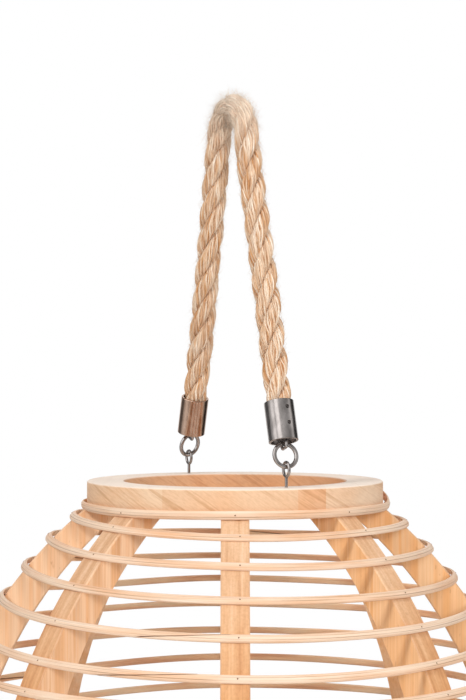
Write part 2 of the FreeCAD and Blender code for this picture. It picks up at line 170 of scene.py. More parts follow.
# %% Rope line
HANDLE_ACROSS = np.array([0.38268, -0.92388, 0.0])
UPRIGHT = np.array([0.0, 0.0, 1.0])
ROPE_DIAMETER = 0.0164
ROUTE_STEPS = 18
ROUTE = [
    (0.080503, 0.462366),
    (0.071482, 0.490977),
    (0.058200, 0.540000),
    (0.041200, 0.594000),
    (0.024000, 0.644000),
    (0.018000, 0.672000),
    (0.004300, 0.683000),
    (-0.013400, 0.683000),
    (-0.027600, 0.672000),
    (-0.033000, 0.644000),
    (-0.045000, 0.594000),
    (-0.057800, 0.540000),
    (-0.071482, 0.490977),
    (-0.080503, 0.462366),
]


def read_route(route):
    """Points of the smooth line whose control points are the route's, in the plane of the handle."""
    curve = bpy.data.curves.new("rope_line", "CURVE")
    curve.dimensions = "3D"
    curve.resolution_u = ROUTE_STEPS
    spline = curve.splines.new("NURBS")
    spline.points.add(len(route) - 1)
    for point, (across, up) in zip(spline.points, route):
        point.co = (*(HANDLE_ACROSS * across + UPRIGHT * up), 1.0)
    spline.order_u = 3
    spline.use_endpoint_u = True
    holder = bpy.data.objects.new("rope_line", curve)
    line = bpy.data.meshes.new_from_object(holder)
    points = np.zeros(len(line.vertices) * 3, np.float32)
    line.vertices.foreach_get("co", points)
    bpy.data.objects.remove(holder)
    bpy.data.curves.remove(curve)
    bpy.data.meshes.remove(line)
    return points.reshape(-1, 3).astype(float)


rope_line = read_route(ROUTE)
rope_steps = np.linalg.norm(np.diff(rope_line, axis=0), axis=1)
rope_at = np.concatenate([[0], np.cumsum(rope_steps)])
print("rope line", len(rope_line), "points,", round(rope_at[-1], 4), "m")

# %% [markdown]
# ## Rope: strands and yarns
# A laid rope is three strands twisted together, and each strand is a bundle of yarns twisted the other
# way, so the yarns end up nearly in line with the rope. One rippled tube per strand would look like
# plastic, so here every yarn is its own thin tube that winds round its strand while the strand winds
# round the rope. A plain core fills each strand. The ferrules grip the rope's ends thinner, and at the
# fold the strands are pressed into one another.

# %% Rope yarns
STRANDS = 3
LAY_LENGTH = 0.061
LAY_START = 0.2
STRAND_CENTRE = 0.0046
STRAND_HIGH = 0.0041
STRAND_WIDE = 0.0051
YARNS = 22
YARN_RADIUS = 0.00070
YARN_TURN = 1.9
YARN_SIDES = 5
YARN_JITTER, YARN_WANDER, YARN_UNEVEN, STRAND_UNEVEN = 0.25, 0.14, 0.25, 0.05
YARN_TINTS = (0.1, 1.0)
YARN_SHIFT, STRAND_SHIFT = 0.7, 11
DRIFT_RATES, DRIFT_WAVES = (6, 60), 4
CORE_SHARE, CORE_SIDES = 0.88, 10
GRIPPED, GRIP_ENDS, FREE = 0.92, 0.022, 0.036
FOLD_HEIGHT, FOLD_REACH, FOLD_FLAT = 0.684, 0.020, 0.35
FOLD_SWELL, FOLD_WIDEN = 0.8, 0.6
ROPE_SEED = 11

rope_tangent = np.gradient(rope_line, rope_at, axis=0)
rope_tangent /= np.linalg.norm(rope_tangent, axis=1, keepdims=True)
rope_side = np.cross(HANDLE_ACROSS, UPRIGHT)
rope_out = np.cross(rope_side, rope_tangent)
from_end = np.minimum(rope_at, rope_at[-1] - rope_at)
rope_grip = np.interp(from_end, [0, GRIP_ENDS, FREE], [GRIPPED, GRIPPED, 1.0])
rope_fold = FOLD_FLAT * np.exp(-((rope_line[:, 2] - FOLD_HEIGHT) / FOLD_REACH) ** 2)
strand_centre = rope_grip * STRAND_CENTRE * (1 - rope_fold)
strand_high = rope_grip * (STRAND_HIGH + STRAND_CENTRE * rope_fold * FOLD_SWELL)
strand_wide = rope_grip * STRAND_WIDE * (1 + FOLD_WIDEN * rope_fold)


def drift(rng, count):
    """Slow change along the rope for each yarn: half the sum of sines with random rates and starts."""
    rate = rng.uniform(*DRIFT_RATES, (count, DRIFT_WAVES, 1))
    begin = rng.uniform(0, 2 * math.pi, (count, DRIFT_WAVES, 1))
    return np.sin(2 * math.pi * rate * rope_at + begin).sum(axis=1) / 2


def strand_directions(index):
    """A strand's angle round the rope, 2 pi (distance / lay + its share of a turn), and the directions
    outwards and aside at that angle."""
    turn = 2 * math.pi * (rope_at / LAY_LENGTH + LAY_START + index / STRANDS)
    out = np.cos(turn)[:, None] * rope_out + np.sin(turn)[:, None] * rope_side
    aside = -np.sin(turn)[:, None] * rope_out + np.cos(turn)[:, None] * rope_side
    return turn, out, aside


def strand_yarns(index, seed):
    """Yarns at angle b = start - YARN_TURN turn on the strand's oval, each with a five-sided tube round
    it: line + (centre + high cos b) out + (wide sin b) aside + radius (cos c normal + sin c third)."""
    rng = np.random.default_rng(seed)
    turn, out, aside = strand_directions(index)
    start = (np.arange(YARNS) + rng.uniform(-YARN_JITTER, YARN_JITTER, YARNS)) * 2 * math.pi / YARNS
    b = start[:, None] - YARN_TURN * turn + YARN_WANDER * drift(rng, YARNS)
    thick = YARN_RADIUS * (1.0 + YARN_UNEVEN * drift(rng, YARNS))
    swell = 1 + STRAND_UNEVEN * drift(rng, YARNS)
    high = strand_centre + swell * (strand_high - YARN_RADIUS) * np.cos(b)
    wide = swell * (strand_wide - YARN_RADIUS) * np.sin(b)
    path = rope_line + high[..., None] * out + wide[..., None] * aside
    normal = np.cos(b)[..., None] * out + np.sin(b)[..., None] * aside
    third = np.cross(np.broadcast_to(rope_tangent, normal.shape), normal)
    c = np.linspace(0, 2 * math.pi, YARN_SIDES, endpoint=False)[:, None]
    ring = np.cos(c) * normal[:, :, None] + np.sin(c) * third[:, :, None]
    points = path[:, :, None] + thick[..., None, None] * ring
    share = np.tile(np.linspace(0, 1, YARN_SIDES + 1), (len(rope_at), 1))
    tints = rng.uniform(*YARN_TINTS, YARNS)
    along = [rope_at + YARN_SHIFT * k + STRAND_SHIFT * index for k in range(YARNS)]
    return [tube_shell(p, along[k], share, tints[k]) for k, p in enumerate(points)]


def strand_core(index):
    """Oval tube at the middle of a strand, smaller than its ring of yarns."""
    _, out, aside = strand_directions(index)
    v = np.linspace(0, 2 * math.pi, CORE_SIDES, endpoint=False)[None, :]
    high = strand_centre[:, None] + CORE_SHARE * strand_high[:, None] * np.cos(v)
    wide = CORE_SHARE * strand_wide[:, None] * np.sin(v)
    points = rope_line[:, None] + high[..., None] * out[:, None] + wide[..., None] * aside[:, None]
    share = np.tile(np.linspace(0, 1, CORE_SIDES + 1), (len(rope_at), 1))
    return tube_shell(points, rope_at, share, 0.0)


rope_shells = [strand_core(k) for k in range(STRANDS)]
for k in range(STRANDS):
    rope_shells += strand_yarns(k, ROPE_SEED + k)
rope = add_piece("rope_strands", rope_shells, "handle")
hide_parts("rope_handle")
print("rope", len(rope_shells), "tubes,", len(rope.data.polygons), "faces")

# %% [markdown]
# ## Rope: stray fibres
# Jute is hairy, and the hairs show against a white wall. A hair system would be lost in an export, so
# each hair is a thin three-sided tube: it leaves the rope at a slant, runs along it and bends outwards.

# %% Rope hairs
HAIR_COUNT = 6500
HAIR_RADIUS = 0.00007
HAIR_ROWS = 5
HAIR_LENGTHS, HAIR_TINTS = (0.0025, 0.0075), (0.6, 1.0)
HAIR_ALONG, HAIR_OUT, HAIR_CURL, HAIR_ASIDE = (0.5, 1.0), (0.08, 0.36), (0.0, 0.34), 0.35
HAIR_ROOT, HAIR_TAPER = 0.0008, 0.6
BARE_ENDS = 18
FUZZY_HEIGHT, FUZZY_REACH, FUZZY_EXTRA = 0.68, 0.03, 0.5
HAIR_SEED = 5


def rope_hairs(count, seed):
    """Hairs p(t) = start + length (t lean + t t curl): all at once, then a triangle round each p(t)."""
    rng = np.random.default_rng(seed)
    place = rng.integers(BARE_ENDS, len(rope_line) - BARE_ENDS, count)
    near_top = np.exp(-((rope_line[place, 2] - FUZZY_HEIGHT) / FUZZY_REACH) ** 2)
    angle = rng.uniform(0, 2 * math.pi, count)
    radial = np.cos(angle)[:, None] * rope_out[place] + np.sin(angle)[:, None] * rope_side
    sideways = -np.sin(angle)[:, None] * rope_out[place] + np.cos(angle)[:, None] * rope_side
    tangent = rope_tangent[place] * rng.choice([-1.0, 1.0], count)[:, None]
    length = rng.uniform(*HAIR_LENGTHS, count)[:, None] * (1 + FUZZY_EXTRA * near_top[:, None])
    lean = tangent * rng.uniform(*HAIR_ALONG, count)[:, None]
    lean = lean + radial * rng.uniform(*HAIR_OUT, count)[:, None]
    curl = radial * rng.uniform(*HAIR_CURL, count)[:, None]
    curl = curl + sideways * rng.normal(0, HAIR_ASIDE, count)[:, None]
    start = rope_line[place] + radial * (ROPE_DIAMETER / 2 - HAIR_ROOT)
    t = np.linspace(0, 1, HAIR_ROWS)[None, :, None]
    core = start[:, None] + length[:, None] * (t * lean[:, None] + t * t * curl[:, None])
    corner = np.linspace(0, 2 * math.pi, 3, endpoint=False)[None, None, :, None]
    thick = HAIR_RADIUS * (1 - HAIR_TAPER * t)[..., None]
    ring = np.cos(corner) * radial[:, None, None] + np.sin(corner) * sideways[:, None, None]
    points = core[:, :, None] + thick * ring
    share = np.tile(np.linspace(0, 1, 4), (HAIR_ROWS, 1))
    along = np.linspace(0, 0.01, HAIR_ROWS)
    tints = rng.uniform(*HAIR_TINTS, count)
    return [tube_shell(p, along, share, tint) for p, tint in zip(points, tints)]


hairs = add_piece("rope_hairs", rope_hairs(HAIR_COUNT, HAIR_SEED), "handle")
print("rope hairs", len(hairs.data.polygons), "faces")

# %% [markdown]
# ## Rope: its facts
# A rope bends, so a later user of the lantern needs to know how long and how thick it is and where it
# leaves the ferrule. Its length is printed with its line above, and here the point where it leaves the
# front ferrule is worked out from the route and printed.

# %% Rope's front end
front_end = HANDLE_ACROSS * ROUTE[0][0] + UPRIGHT * ROUTE[0][1]
print("rope leaves the front ferrule at", [round(x, 4) for x in front_end])

# %% [markdown]
# ## Cane hoops: where they run
# Each hoop is half of a round cane, flat side on the ribs. The ribs bow on an arc, so every hoop has its
# own radius and its own slope. Nailed on by hand, the upper ones lean down to the right, two of them tip
# up at the back, and most ride up the ribs a little at the sides and slip down them at the back on the
# left. Rings could be placed by eye. Instead, the same arc that shaped the ribs gives each hoop its seat.
# One more ring of cane lies flat on the base board to keep the glass in place.

# %% Cane hoop seats
RIB_ARC = 0.300
RIB_BULGE = 0.180
RIB_WIDTH = 0.018
RING_TOP, RING_UNDERSIDE, RING_RADIUS = 0.430, 0.412, 0.100
BASE_TOP = 0.018
CANE_WIDTH, CANE_EDGE, CANE_GAP = 0.0056, 0.0003, 0.00015
HOOP_DROPS = [0.0164, 0.0296, 0.0463, 0.0653, 0.0849, 0.1063, 0.1253, 0.1474, 0.1694]
HOOP_TIPS = {4: math.radians(0.45), 5: math.radians(0.75)}
RIDE_RIGHT = [0.0, 0.0040, 0.0046, 0.0046, 0.0050, 0.0052, 0.0030]
RIDE_LEFT = [0.0, 0.0030, 0.0050, 0.0054, 0.0050, 0.0040, 0.0020]
BACK_LEFT_DROP = [0.0, 0.0, 0.0010, 0.0020, 0.0042, 0.0024, 0.0028, 0.0034, 0.0036]
RING_HOOP_RISE, RING_HOOP_SLACK = 0.0070, 0.0022
RING_HOOP_PLACE, RING_HOOP_REACH = math.radians(24), math.radians(34)
RIDE_FOLLOWS = 0.4
STOP_RADIUS = 0.0658
LOWER_HOOPS = 10
BASE_HOOP = 0.0164
HOOP_LEAN, LEAN_ENDS, LEAN_FADES = math.radians(1.4), 8, 5
ARC_CENTRE = RING_RADIUS - math.sqrt(RIB_ARC ** 2 - (RING_UNDERSIDE - RIB_BULGE) ** 2)

upper_levels = RING_TOP - np.array(HOOP_DROPS)
lower_levels = np.linspace(upper_levels[-1], BASE_HOOP, LOWER_HOOPS + 1)[1:]
hoop_levels = np.concatenate([upper_levels, lower_levels])
HOOPS = len(hoop_levels)


def rib_radius(z):
    """Outer edge of a rib: the arc's centre plus the root of its radius squared less the rise squared."""
    return ARC_CENTRE + math.sqrt(RIB_ARC ** 2 - (z - RIB_BULGE) ** 2)


def hoop_seat(index):
    """Radius, height, slope, lean and tip of the flat face of a hoop."""
    z = hoop_levels[index]
    lean = 0.0 if index == 0 else HOOP_LEAN * min(1.0, max(0.0, (LEAN_ENDS - index) / LEAN_FADES))
    tip = HOOP_TIPS.get(index, 0.0)
    if index in (0, HOOPS - 1):
        half = CANE_WIDTH / 2
        radius = rib_radius(min(z - half, RING_UNDERSIDE) if index == 0 else max(z + half, BASE_TOP))
        return radius + RIB_WIDTH ** 2 / (8 * radius) + CANE_GAP, z, 0.0, lean, tip
    slope = math.asin((z - RIB_BULGE) / RIB_ARC)
    radius = rib_radius(z)
    gap = RIB_WIDTH ** 2 / (8 * radius) * math.cos(slope) + CANE_GAP
    return radius + gap * math.cos(slope), z + gap * math.sin(slope), slope, lean, tip


seats = [hoop_seat(k) for k in range(HOOPS)] + [(STOP_RADIUS, BASE_TOP, math.pi / 2, 0.0, 0.0)]
print("hoops", HOOPS, "radii", [round(seat[0], 4) for seat in seats])

# %% [markdown]
# ## Cane hoops: the cane itself
# A hoop is one strip of cane whose two ends are cut on a long slant and laid side by side, so a fine
# line of shade, painted on the cut edges, crosses the strip where they meet. A curve with a bevel would
# give the ring but not the lap.
# Here the section is a slice of a low half-round between two cuts, and the cuts move along the strip.

# %% Cane surfaces
LAP = math.radians(22)
LAP_LINE, LAP_SWEEP, LAP_TIP = 0.07, 1.94, 0.97
CANE_STEP = math.radians(1.5)
CANE_HALF = CANE_WIDTH / 2
CANE_CROWN = 0.0016
CANE_FULL = CANE_EDGE + CANE_CROWN
FOOT_POINTS, CROWN_POINTS = 5, 17
SWAY, ROLL, DRAWN_IN = (0.00022, 0.00016), (0.05, 0.03), 0.00025
HOOP_SHIFT = 3.0


def cane_outline(low, high):
    """Slice of a low half-round from across = low to high, as shares of half its width: along the flat
    foot, then back over the crown, where across is half the width times cos b and the height is the edge
    plus the crown times sin b."""
    foot = np.linspace(0, 1, FOOT_POINTS)[None, :]
    over = np.linspace(0, 1, CROWN_POINTS)[None, :]
    begin, finish = np.arccos(high)[:, None], np.arccos(low)[:, None]
    b = begin + (finish - begin) * over
    across = np.concatenate([low[:, None] + (high - low)[:, None] * foot, np.cos(b)], axis=1)
    crown = CANE_EDGE + CANE_CROWN * np.sin(b)
    height = np.concatenate([np.zeros((len(low), FOOT_POINTS)), crown], axis=1)
    return across * CANE_HALF, height


def cane_unevenness(index, angle, shifts):
    """How a bent cane sways up and down, is drawn in between ribs and rolls, as sines of the angle. It
    rides up at the sides, as powers of the angle's cosine, and drops down the ribs at the back on the
    left, as the square of sin 2 angle. The ring's hoop is slack, and lifts, on the right."""
    sway = SWAY[0] * np.sin(3 * angle + shifts[0]) + SWAY[1] * np.sin(5 * angle + shifts[1])
    ride, slack = np.zeros_like(angle), np.zeros_like(angle)
    if index == 0:
        turned = (angle - RING_HOOP_PLACE + math.pi) % (2 * math.pi) - math.pi
        lift = np.cos(np.clip(turned / RING_HOOP_REACH, -1, 1) * math.pi / 2) ** 2
        ride, slack = RING_HOOP_RISE * lift, RING_HOOP_SLACK * lift ** 0.5
    elif index < len(RIDE_RIGHT):
        right, left = np.maximum(np.cos(angle), 0), np.maximum(-np.cos(angle), 0)
        ride = RIDE_RIGHT[index] * right ** 2 + RIDE_LEFT[index] * left ** 4
    drop = np.zeros_like(angle)
    if index < len(BACK_LEFT_DROP):
        back_left = (np.sin(angle) > 0) & (np.cos(angle) < 0)
        drop = np.where(back_left, BACK_LEFT_DROP[index] * np.sin(2 * angle) ** 2, 0.0)
    flatten = slack - DRAWN_IN * (1 - np.cos(8 * angle)) / 2
    flatten = flatten + (drop - RIDE_FOLLOWS * ride) * math.tan(seats[index][2])
    roll = ROLL[0] * np.sin(2 * angle + shifts[2]) + ROLL[1] * np.sin(7 * angle + shifts[3])
    return sway + ride - drop, flatten, roll


def cane_point(index, angle, across, height, shifts):
    """Point of the hoop: seat radius and height, then across down the slope and height out of it, turned
    round the axis, leaned about the front-to-back line and tipped about the left-to-right one."""
    radius, z, slope, lean, tip = seats[index]
    sway, flatten, roll = (part[..., None] for part in cane_unevenness(index, angle, shifts))
    tilt = slope + roll
    out = radius + flatten + height * np.cos(tilt) + across * np.sin(tilt)
    rise = sway + height * np.sin(tilt) - across * np.cos(tilt)
    x, y = out * np.cos(angle)[..., None], out * np.sin(angle)[..., None]
    leaned_x = x * math.cos(lean) + rise * math.sin(lean)
    leaned_z = rise * math.cos(lean) - x * math.sin(lean)
    slide = radius * math.tan(slope)
    return np.stack([leaned_x + slide * math.sin(lean),
                     y * math.cos(tip) - leaned_z * math.sin(tip) - slide * math.sin(tip),
                     z + y * math.sin(tip) + leaned_z * math.cos(tip)], axis=-1)


def cane_strip(index, angle, low, high, shifts):
    """Closed strip along its angles, cut at low and high, with UV along it and across it. The tint is 1
    on the cut edges of the lap, where shade is painted, and 0 elsewhere."""
    across, height = cane_outline(low, high)
    points = cane_point(index, angle, across, height, shifts)
    share = across / CANE_WIDTH + 0.5
    share = np.concatenate([share, share[:, :1]], axis=1)
    cut = np.zeros(across.shape)
    cut[:, [0, -1]] = (low > -1)[:, None]
    cut[:, [FOOT_POINTS - 1, FOOT_POINTS]] = (high < 1)[:, None]
    return tube_shell(points, angle * seats[index][0] + HOOP_SHIFT * index, share, cut.ravel())


def lapped_cane(index, start, shifts):
    """Cane from its start once round and on over the lap, where one end widens as the other narrows."""
    angle = np.arange(start, start + 2 * math.pi + LAP, CANE_STEP)
    into = np.clip((angle - start) / LAP, 0, 1)
    past = np.clip((angle - start - 2 * math.pi) / LAP, 0, 1)
    low = np.where(into < 1, 1 - LAP_SWEEP * into + LAP_LINE * (1 - into), -1.0)
    high = np.where(past > 0, 1 - LAP_SWEEP * past - LAP_LINE, 1.0)
    return cane_strip(index, angle, np.clip(low, -1, LAP_TIP), np.clip(high, -LAP_TIP, 1), shifts)


CANE_SEED = 21
BACK_LAPS = (math.radians(30), math.radians(150))
FRONT_LAPS = {4: math.radians(-113), 5: math.radians(-119)}

cane_rng = np.random.default_rng(CANE_SEED)
hoop_shifts = cane_rng.uniform(0, 2 * math.pi, (HOOPS + 1, 4))
hoop_starts = cane_rng.uniform(*BACK_LAPS, HOOPS + 1)
for k, start in FRONT_LAPS.items():
    hoop_starts[k] = start
cane_names = ["cane_%02d" % (k + 1) for k in range(HOOPS)] + ["cane_stop"]
solid_names = ["hoop_%02d" % (k + 1) for k in range(HOOPS)] + ["glass_stop"]
canes = []
for k, (name, solid) in enumerate(zip(cane_names, solid_names)):
    shell = lapped_cane(k, hoop_starts[k], hoop_shifts[k])
    cane = add_piece(name, [shell], "frame")
    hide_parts(solid)
    canes.append(cane)
print("canes", len(canes), "with", sum(len(c.data.polygons) for c in canes), "faces")

# %% [markdown]
# ## Brads
# A small nail holds every hoop to every rib, 152 in all. Copies of one nail could be placed one by one,
# but a nail is only a domed head on a thin shank, so one small profile is turned round the direction
# that the cane's crown faces at each crossing, all nails at once.

# %% Brads
RIBS = 8
BRAD_SIDES = 10
BRAD_PROFILE = [(0.0005, -0.0040), (0.0005, -0.0003), (0.0006, -0.0003), (0.0005, 0.00008),
                (0.0002, 0.00015)]
BRAD_TINTS = 7
SIDE_STEP = 0.001


def at_crossings(across, height):
    """Points of every hoop where it crosses the ribs, at a place across the cane and a height on it."""
    angle = np.arange(RIBS) * 2 * math.pi / RIBS
    across, height = np.full((RIBS, 1), across), np.full((RIBS, 1), height)
    return np.stack([cane_point(k, angle, across, height, hoop_shifts[k])[:, 0] for k in range(HOOPS)])


def brad_surfaces():
    """Nail at the crown of each crossing: radius r at height h along the crown's own direction."""
    crowns, feet = at_crossings(0.0, CANE_FULL), at_crossings(0.0, 0.0)
    sides = at_crossings(SIDE_STEP, 0.0)
    normal = (crowns - feet).reshape(-1, 3)
    normal /= np.linalg.norm(normal, axis=1, keepdims=True)
    side = (sides - feet).reshape(-1, 3)
    side /= np.linalg.norm(side, axis=1, keepdims=True)
    third = np.cross(normal, side)
    turn = np.linspace(0, 2 * math.pi, BRAD_SIDES, endpoint=False)
    radius, height = np.array(BRAD_PROFILE).T
    ring = np.cos(turn)[None, :, None] * side[:, None] + np.sin(turn)[None, :, None] * third[:, None]
    points = crowns.reshape(-1, 1, 1, 3) + radius[None, :, None, None] * ring[:, None]
    points = points + height[None, :, None, None] * normal[:, None, None]
    share = np.tile(np.linspace(0, 1, BRAD_SIDES + 1), (len(radius), 1))
    tints = np.arange(len(points)) % BRAD_TINTS / (BRAD_TINTS - 1)
    return [tube_shell(p, height, share, tint) for p, tint in zip(points, tints)]


brads = add_piece("brads", brad_surfaces(), "frame")
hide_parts("hoop_brads")
print("brads", len(brads.data.polygons), "faces")

# %% [markdown]
# ## Building finishes
# A finish is a small tree of shader nodes. Trees can be drawn by hand in the shader editor, but a script
# can be read and run again. To keep the trees readable, a few helpers add one node each and join its
# inputs. Patterns read Object coordinates on the model's own solids, and the UV map or the tint attribute
# on the new surfaces, so they stay with the piece when it moves.


# %% Shader nodes
class ShaderTree:
    """A tree of shader nodes that are added one by one, each joined to those before it."""

    def __init__(self, tree):
        self.tree = tree

    def node(self, kind, inputs=None, **settings):
        made = self.tree.nodes.new("ShaderNode" + kind)
        for key, value in settings.items():
            setattr(made, key, value)
        for key, value in (inputs or {}).items():
            if isinstance(value, bpy.types.NodeSocket):
                self.tree.links.new(value, made.inputs[key])
            else:
                made.inputs[key].default_value = value
        return made

    def where(self, source="Object", scale=(1, 1, 1), turn=(0, 0, 0), shift=(0, 0, 0)):
        start = self.node("TexCoord").outputs[source]
        inputs = {"Vector": start, "Scale": scale, "Rotation": turn, "Location": shift}
        return self.node("Mapping", inputs).outputs["Vector"]

    def axes(self, source="Object"):
        return self.node("SeparateXYZ", {0: self.where(source)}).outputs

    def vector(self, operation, first, second=(0, 0, 0)):
        return self.node("VectorMath", {0: first, 1: second}, operation=operation).outputs["Vector"]

    def measure(self, operation, first, second=(0, 0, 0)):
        return self.node("VectorMath", {0: first, 1: second}, operation=operation).outputs["Value"]

    def stretch(self, vector, scale):
        return self.vector("MULTIPLY", vector, scale)

    def span(self, value, low, high, first=0.0, last=1.0):
        """Runs from first to last as the value runs from low to high, and stays there beyond."""
        inputs = {"Value": value, 1: low, 2: high, 3: first, 4: last}
        return self.node("MapRange", inputs).outputs[0]

    def noise(self, vector, scale=1.0, detail=4.0, roughness=0.55, distortion=0.0):
        inputs = {"Vector": vector, "Scale": scale, "Detail": detail, "Roughness": roughness}
        inputs["Distortion"] = distortion
        return self.node("TexNoise", inputs).outputs["Fac"]

    def math(self, operation, first, second=0.0, third=0.0):
        return self.node("Math", {0: first, 1: second, 2: third}, operation=operation).outputs[0]

    def ramp(self, factor, stops, interpolation="LINEAR"):
        made = self.node("ValToRGB", {"Fac": factor})
        band = made.color_ramp
        band.interpolation = interpolation
        while len(band.elements) < len(stops):
            band.elements.new(0.5)
        for element, (place, colour) in zip(band.elements, stops):
            element.position = place
            element.color = (*colour, 1)
        return made.outputs["Color"]

    def mix(self, factor, first, second, blend="MIX"):
        inputs = {"Factor": factor, 6: first, 7: second}
        return self.node("Mix", inputs, data_type="RGBA", blend_type=blend).outputs[2]

    def bump(self, height, strength, distance):
        inputs = {"Height": height, "Strength": strength, "Distance": distance}
        return self.node("Bump", inputs).outputs["Normal"]

    def tint(self):
        return self.node("Attribute", attribute_name="tint").outputs["Fac"]


print("shader nodes ready")


# %% Finish helpers
class Finish(ShaderTree):
    """A material whose constants are set on its shader and whose patterns are joined to it."""

    def __init__(self, name, **sockets):
        self.material = bpy.data.materials.new(name)
        self.material.use_nodes = True
        super().__init__(self.material.node_tree)
        self.shader = self.tree.nodes["Principled BSDF"]
        for socket, value in sockets.items():
            self.shader.inputs[socket.replace("_", " ")].default_value = value

    def join(self, **sockets):
        for socket, value in sockets.items():
            self.tree.links.new(value, self.shader.inputs[socket.replace("_", " ")])
        return self.material


def colour(red, green, blue):
    """Linear colour of an 8-bit screen colour: each share c becomes ((c + 0.055) / 1.055) to the 2.4."""
    shares = np.array([red, green, blue]) / 255
    linear = np.where(shares > 0.04045, ((shares + 0.055) / 1.055) ** 2.4, shares / 12.92)
    return tuple(float(c) for c in linear)


def paint(red, green, blue):
    """The same linear colour with full cover, as a colour socket takes it."""
    return (*colour(red, green, blue), 1)


def dress(names, material):
    """Gives a finish to solids of the model."""
    for name in names:
        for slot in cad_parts[name].material_slots:
            slot.material = material


print("finish helpers ready")

# %% [markdown]
# ## Jute
# Jute is a dull tan fibre, streaked with brown along the yarns and bleached where hands rub the fold.
# Streaks are noise stretched along each yarn on its UV map, every yarn has its own tint, and a slower
# noise makes some stretches browner than others. The cores have no tint, which leaves them darker.

# %% Jute finish
RUBBED_FROM, RUBBED_FULL, RUBBED_SHARE = 0.650, 0.686, 0.55


def jute():
    """Streaks and fibres make the base, the yarn's tint and the patches darken it, the fold is pale."""
    made = Finish("jute", Roughness=0.95, Specular_IOR_Level=0.2)
    streak = made.noise(made.where("UV", (90, 5, 1)), 1.0, 4, 0.6)
    fibre = made.noise(made.where("UV", (420, 16, 1)), 1.0, 3, 0.6)
    patch = made.noise(made.where("UV", (24, 0.8, 1)), 1.0, 2, 0.5)
    both = made.math("MULTIPLY_ADD", streak, 0.6, made.math("MULTIPLY", fibre, 0.4))
    base = made.ramp(both, [(0.30, colour(168, 130, 98)), (0.42, colour(222, 196, 168)),
                            (0.54, colour(244, 230, 213)), (0.70, colour(253, 249, 243))])
    own = made.ramp(made.tint(), [(0.0, colour(206, 176, 150)), (0.1, colour(222, 198, 176)),
                                  (0.6, colour(250, 240, 230)), (1.0, (1, 1, 1))])
    toned = made.mix(0.85, base, own, "MULTIPLY")
    brown = made.mix(made.ramp(patch, [(0.44, (0, 0, 0)), (0.64, (1, 1, 1))]), toned,
                     made.mix(1.0, toned, paint(228, 190, 150), "MULTIPLY"))
    rubbed = made.span(made.axes()["Z"], RUBBED_FROM, RUBBED_FULL, 0.0, RUBBED_SHARE)
    pale = made.mix(rubbed, brown, paint(250, 240, 226))
    return made.join(Base_Color=pale, Normal=made.bump(both, 0.8, 0.0005))


jute_finish = jute()
for piece in (rope, hairs):
    piece.data.materials.append(jute_finish)
print("jute on", rope.name, "and", hairs.name)

# %% [markdown]
# ## Cane
# Split cane is pale straw, with fine lines along its length, a few darker flecks and here and there a
# long dark groove. All of that follows the strip, so it reads the UV map: metres along the hoop, and the
# share of the width across it, where a groove is a thin line that wanders and fades in and out. The
# flat inner side, which faces the lantern's axis, is the warmer pith, partly real and partly painted
# shade for the back hoops seen from inside, and the tint darkens the lap's cut edges as painted shade of
# the gap where the ends meet. An image wrapped round the strip could hold all that, but noise never
# repeats or blurs.

# %% Cane finish
GROOVE_WANDER = 0.16


def cane_groove(made, along, across, place, seed):
    """Thin line across = place + wander, shown only where a slow noise along the strip is high."""
    strip = made.node("CombineXYZ", {0: along, 1: seed}).outputs[0]
    wander = made.math("MULTIPLY_ADD", made.noise(strip, 9.0, 1, 0.5), GROOVE_WANDER,
                       place - GROOVE_WANDER / 2)
    gap = made.math("ABSOLUTE", made.math("SUBTRACT", across, wander))
    line = made.span(gap, 0.012, 0.05, 1.0, 0.0)
    return made.math("MULTIPLY", line, made.span(made.noise(strip, 14.0, 1, 0.5), 0.40, 0.56))


def cane_finish():
    """Lines, flecks and grooves on the round side, pith and painted shade facing the axis, painted shade
    at the cuts.
    """
    made = Finish("cane", Roughness=0.55, Specular_IOR_Level=0.35)
    parts = made.axes("UV")
    lines = made.noise(made.where("UV", (7, 22, 1)), 1.0, 5, 0.65)
    flecks = made.noise(made.where("UV", (130, 14, 1)), 1.0, 2, 0.5)
    slow = made.noise(made.where("UV", (16, 0.8, 1)), 1.0, 2, 0.5)
    base = made.ramp(lines, [(0.30, colour(210, 166, 130)), (0.44, colour(232, 200, 170)),
                             (0.56, colour(240, 215, 192)), (0.70, colour(246, 230, 214))])
    warm = made.mix(made.span(slow, 0.42, 0.72, 0.0, 0.8), base,
                    made.mix(1.0, base, paint(246, 216, 190), "MULTIPLY"))
    marked = made.mix(made.span(flecks, 0.68, 0.78, 0.0, 0.45), warm, paint(176, 128, 88))
    low = cane_groove(made, parts["X"], parts["Y"], place=0.70, seed=3.0)
    high = cane_groove(made, parts["X"], parts["Y"], place=0.34, seed=8.0)
    grooves = made.math("MAXIMUM", low, made.math("MULTIPLY", high, 0.7))
    grooved = made.mix(made.math("MULTIPLY", grooves, 0.66), marked, paint(150, 104, 70))
    outward = made.vector("NORMALIZE", made.stretch(made.where("Object"), (1, 1, 0)))
    out = made.measure("DOT_PRODUCT", made.node("TexCoord").outputs["Normal"], outward)
    # The side facing the axis is warmer: partly the cane's pith, partly painted shade for the back hoops.
    pith = made.ramp(slow, [(0.36, colour(232, 174, 134)), (0.50, colour(255, 216, 176)),
                            (0.64, colour(255, 236, 206))])
    pith_and_shade = made.mix(0.7, grooved, pith)
    split = made.mix(made.span(out, -0.1, -0.5), grooved, pith_and_shade)
    # The lap's cut edges are darkened: painted shade of the gap where the ends meet.
    lap_shaded = made.mix(made.math("MULTIPLY", made.tint(), 0.85), split, paint(128, 82, 54))
    relief = made.math("SUBTRACT", lines, grooves)
    return made.join(Base_Color=lap_shaded, Normal=made.bump(relief, 0.6, 0.0003))


cane_material = cane_finish()
for piece in canes:
    piece.data.materials.append(cane_material)
print("cane on", len(canes), "strips")
